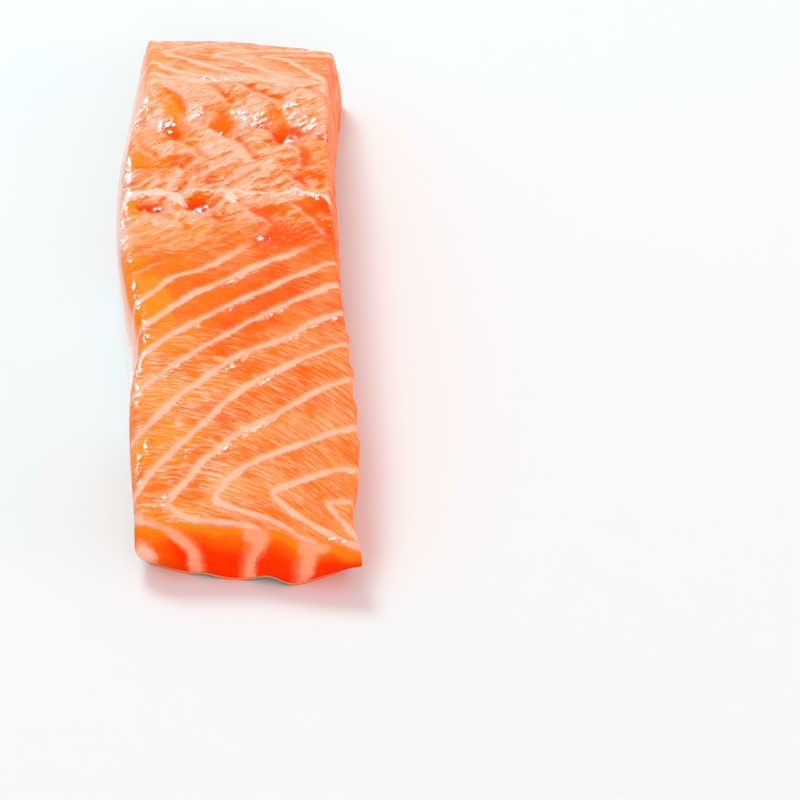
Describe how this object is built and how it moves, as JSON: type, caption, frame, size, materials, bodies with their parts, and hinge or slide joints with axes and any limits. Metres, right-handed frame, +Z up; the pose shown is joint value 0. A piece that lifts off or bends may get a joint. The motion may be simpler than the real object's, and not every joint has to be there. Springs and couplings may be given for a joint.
{
  "type": "raw salmon fillet",
  "caption": "Raw skin-on salmon portion lying on its skin: a long slab of orange flesh with pale chevron seams, a torn flaky stretch and a sloping belly end.",
  "frame": {"origin": "middle of the bounding box in plan, on the surface that the skin lies on", "axes": "+Z up out of the flesh side, +Y from the rounded back end to the sloping belly end, +X to the right of that"},
  "size_m": [0.053, 0.1904, 0.0248],
  "materials": {
    "flesh": "moist, slightly translucent orange flesh with pale fat seams and a wet gloss; gloss plastic stands in for it, as the list has no food"
  },
  "bodies": {
    "root": {"fillet": "flesh"}
  },
  "joints": []
}
